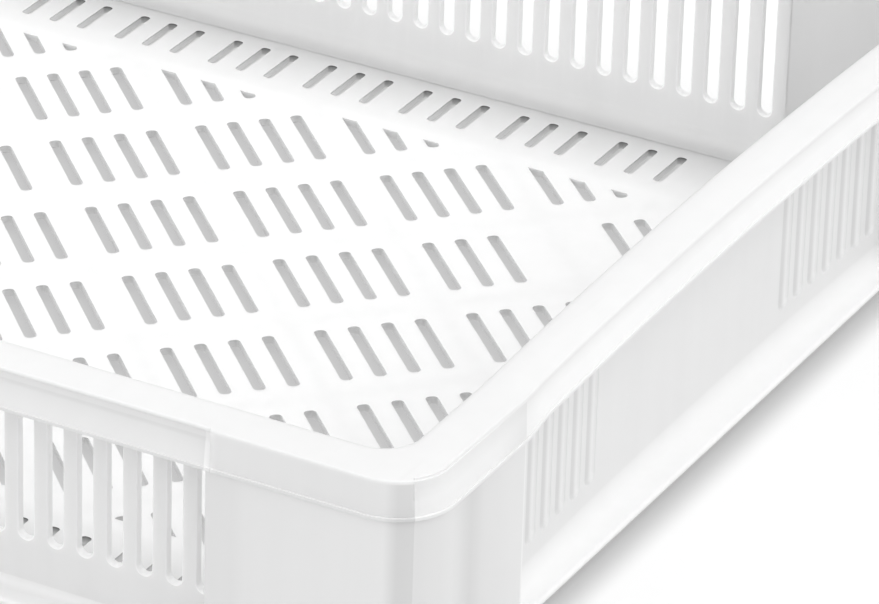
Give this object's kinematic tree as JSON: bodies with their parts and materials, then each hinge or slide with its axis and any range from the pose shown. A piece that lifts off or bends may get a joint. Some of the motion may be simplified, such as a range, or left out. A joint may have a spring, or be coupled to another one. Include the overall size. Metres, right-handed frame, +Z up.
{
  "type": "stacking tray",
  "caption": "Shallow ventilated stacking tray for picked fruit: slotted walls and floor, hollow corner posts, a turned-down rim and coved hand grips at the short ends.",
  "frame": {"origin": "middle of the base, on the ground", "axes": "+X along the length towards the right-hand grip end, +Y along the width towards the rear long wall, +Z up"},
  "size_m": [0.6, 0.4, 0.085],
  "materials": {
    "white_polyethylene": "natural white polyethylene, satin as moulded, a little light shows through the walls"
  },
  "bodies": {
    "root": {"base_ring_front": "white_polyethylene", "base_ring_left": "white_polyethylene", "base_ring_rear": "white_polyethylene", "base_ring_right": "white_polyethylene", "corner_post_front_left": "white_polyethylene", "corner_post_front_right": "white_polyethylene", "corner_post_rear_left": "white_polyethylene", "corner_post_rear_right": "white_polyethylene", "end_wall_left": "white_polyethylene", "end_wall_right": "white_polyethylene", "floor_panel": "white_polyethylene", "floor_ribs": "white_polyethylene", "grip_flange_left": "white_polyethylene", "grip_flange_right": "white_polyethylene", "ledge_front": "white_polyethylene", "ledge_left": "white_polyethylene", "ledge_rear": "white_polyethylene", "ledge_right": "white_polyethylene", "rim_corner_front_left": "white_polyethylene", "rim_corner_front_right": "white_polyethylene", "rim_corner_rear_left": "white_polyethylene", "rim_corner_rear_right": "white_polyethylene", "rim_front": "white_polyethylene", "rim_left": "white_polyethylene", "rim_rear": "white_polyethylene", "rim_right": "white_polyethylene", "side_wall_front": "white_polyethylene", "side_wall_rear": "white_polyethylene", "skirt_corner_front_left": "white_polyethylene", "skirt_corner_front_right": "white_polyethylene", "skirt_corner_rear_left": "white_polyethylene", "skirt_corner_rear_right": "white_polyethylene", "skirt_front": "white_polyethylene", "skirt_rear": "white_polyethylene"}
  },
  "joints": []
}
